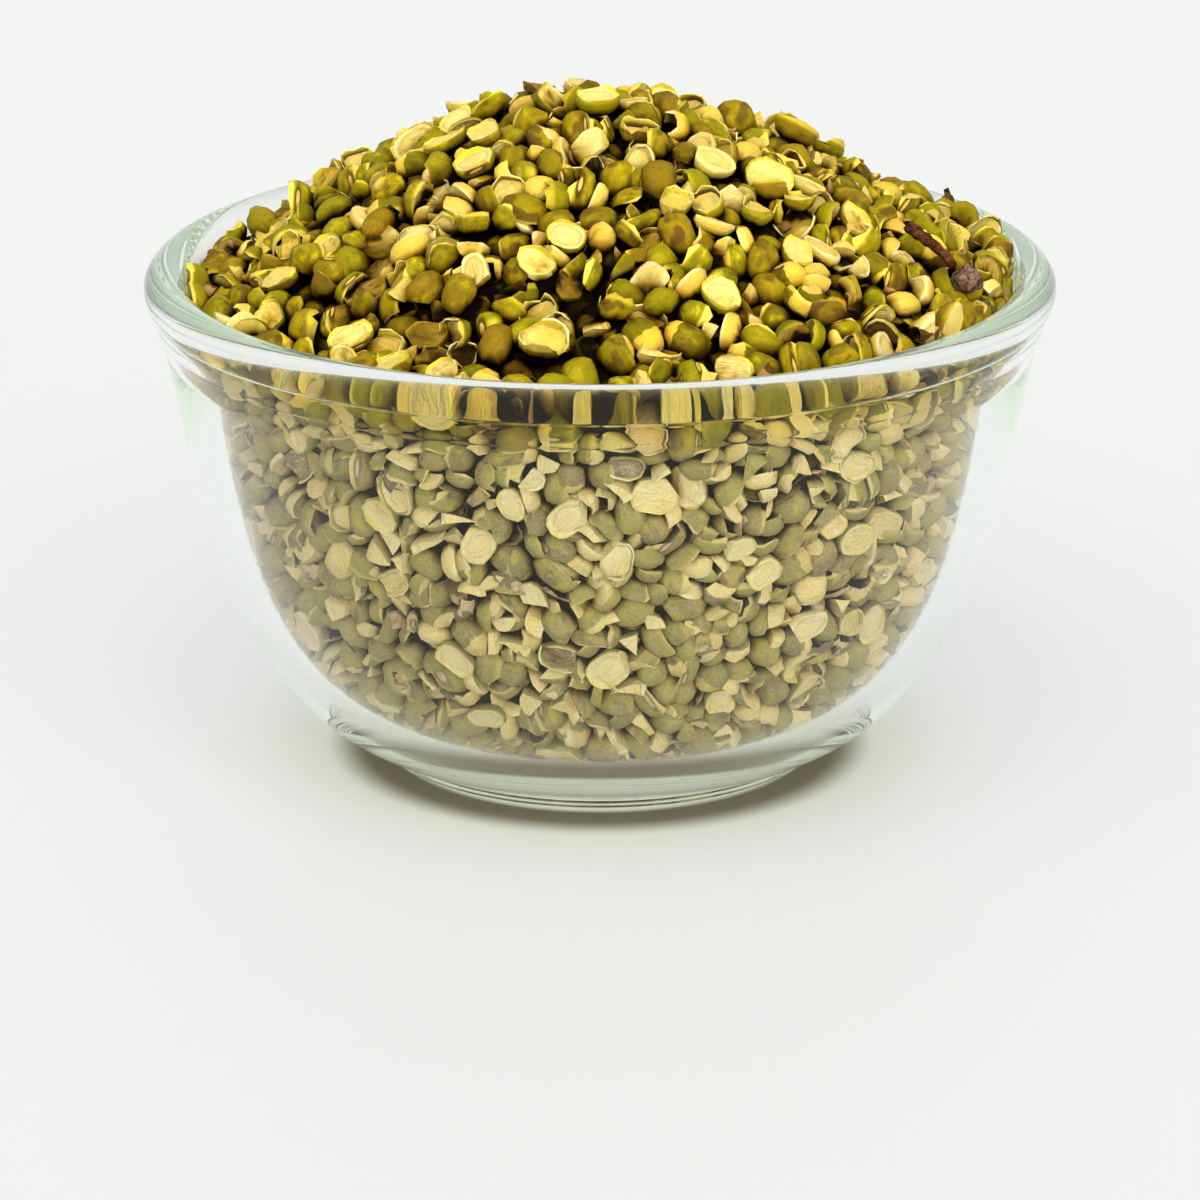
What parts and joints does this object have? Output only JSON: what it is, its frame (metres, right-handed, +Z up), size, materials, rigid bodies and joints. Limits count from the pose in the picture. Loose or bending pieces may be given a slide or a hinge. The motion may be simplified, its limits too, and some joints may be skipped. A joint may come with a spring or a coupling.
{
  "type": "bowl of dry lentils",
  "caption": "Small clear glass bowl with a rolled rim, heaped well above the rim with dry split lentils, some in green skins and some showing pale cut faces.",
  "frame": {"origin": "middle of the bowl's base, on the surface that it stands on", "axes": "+Z up; the pictured side faces -Y, with +X to the right of it"},
  "size_m": [0.1, 0.1, 0.0756],
  "materials": {
    "clear_glass": "clear pressed glass, faintly green in its thick rim",
    "dry_lentils": "dry split pulses, olive skins and pale yellow cut faces"
  },
  "bodies": {
    "root": {"bowl": "clear_glass", "lentil_heap": "dry_lentils"}
  },
  "joints": []
}
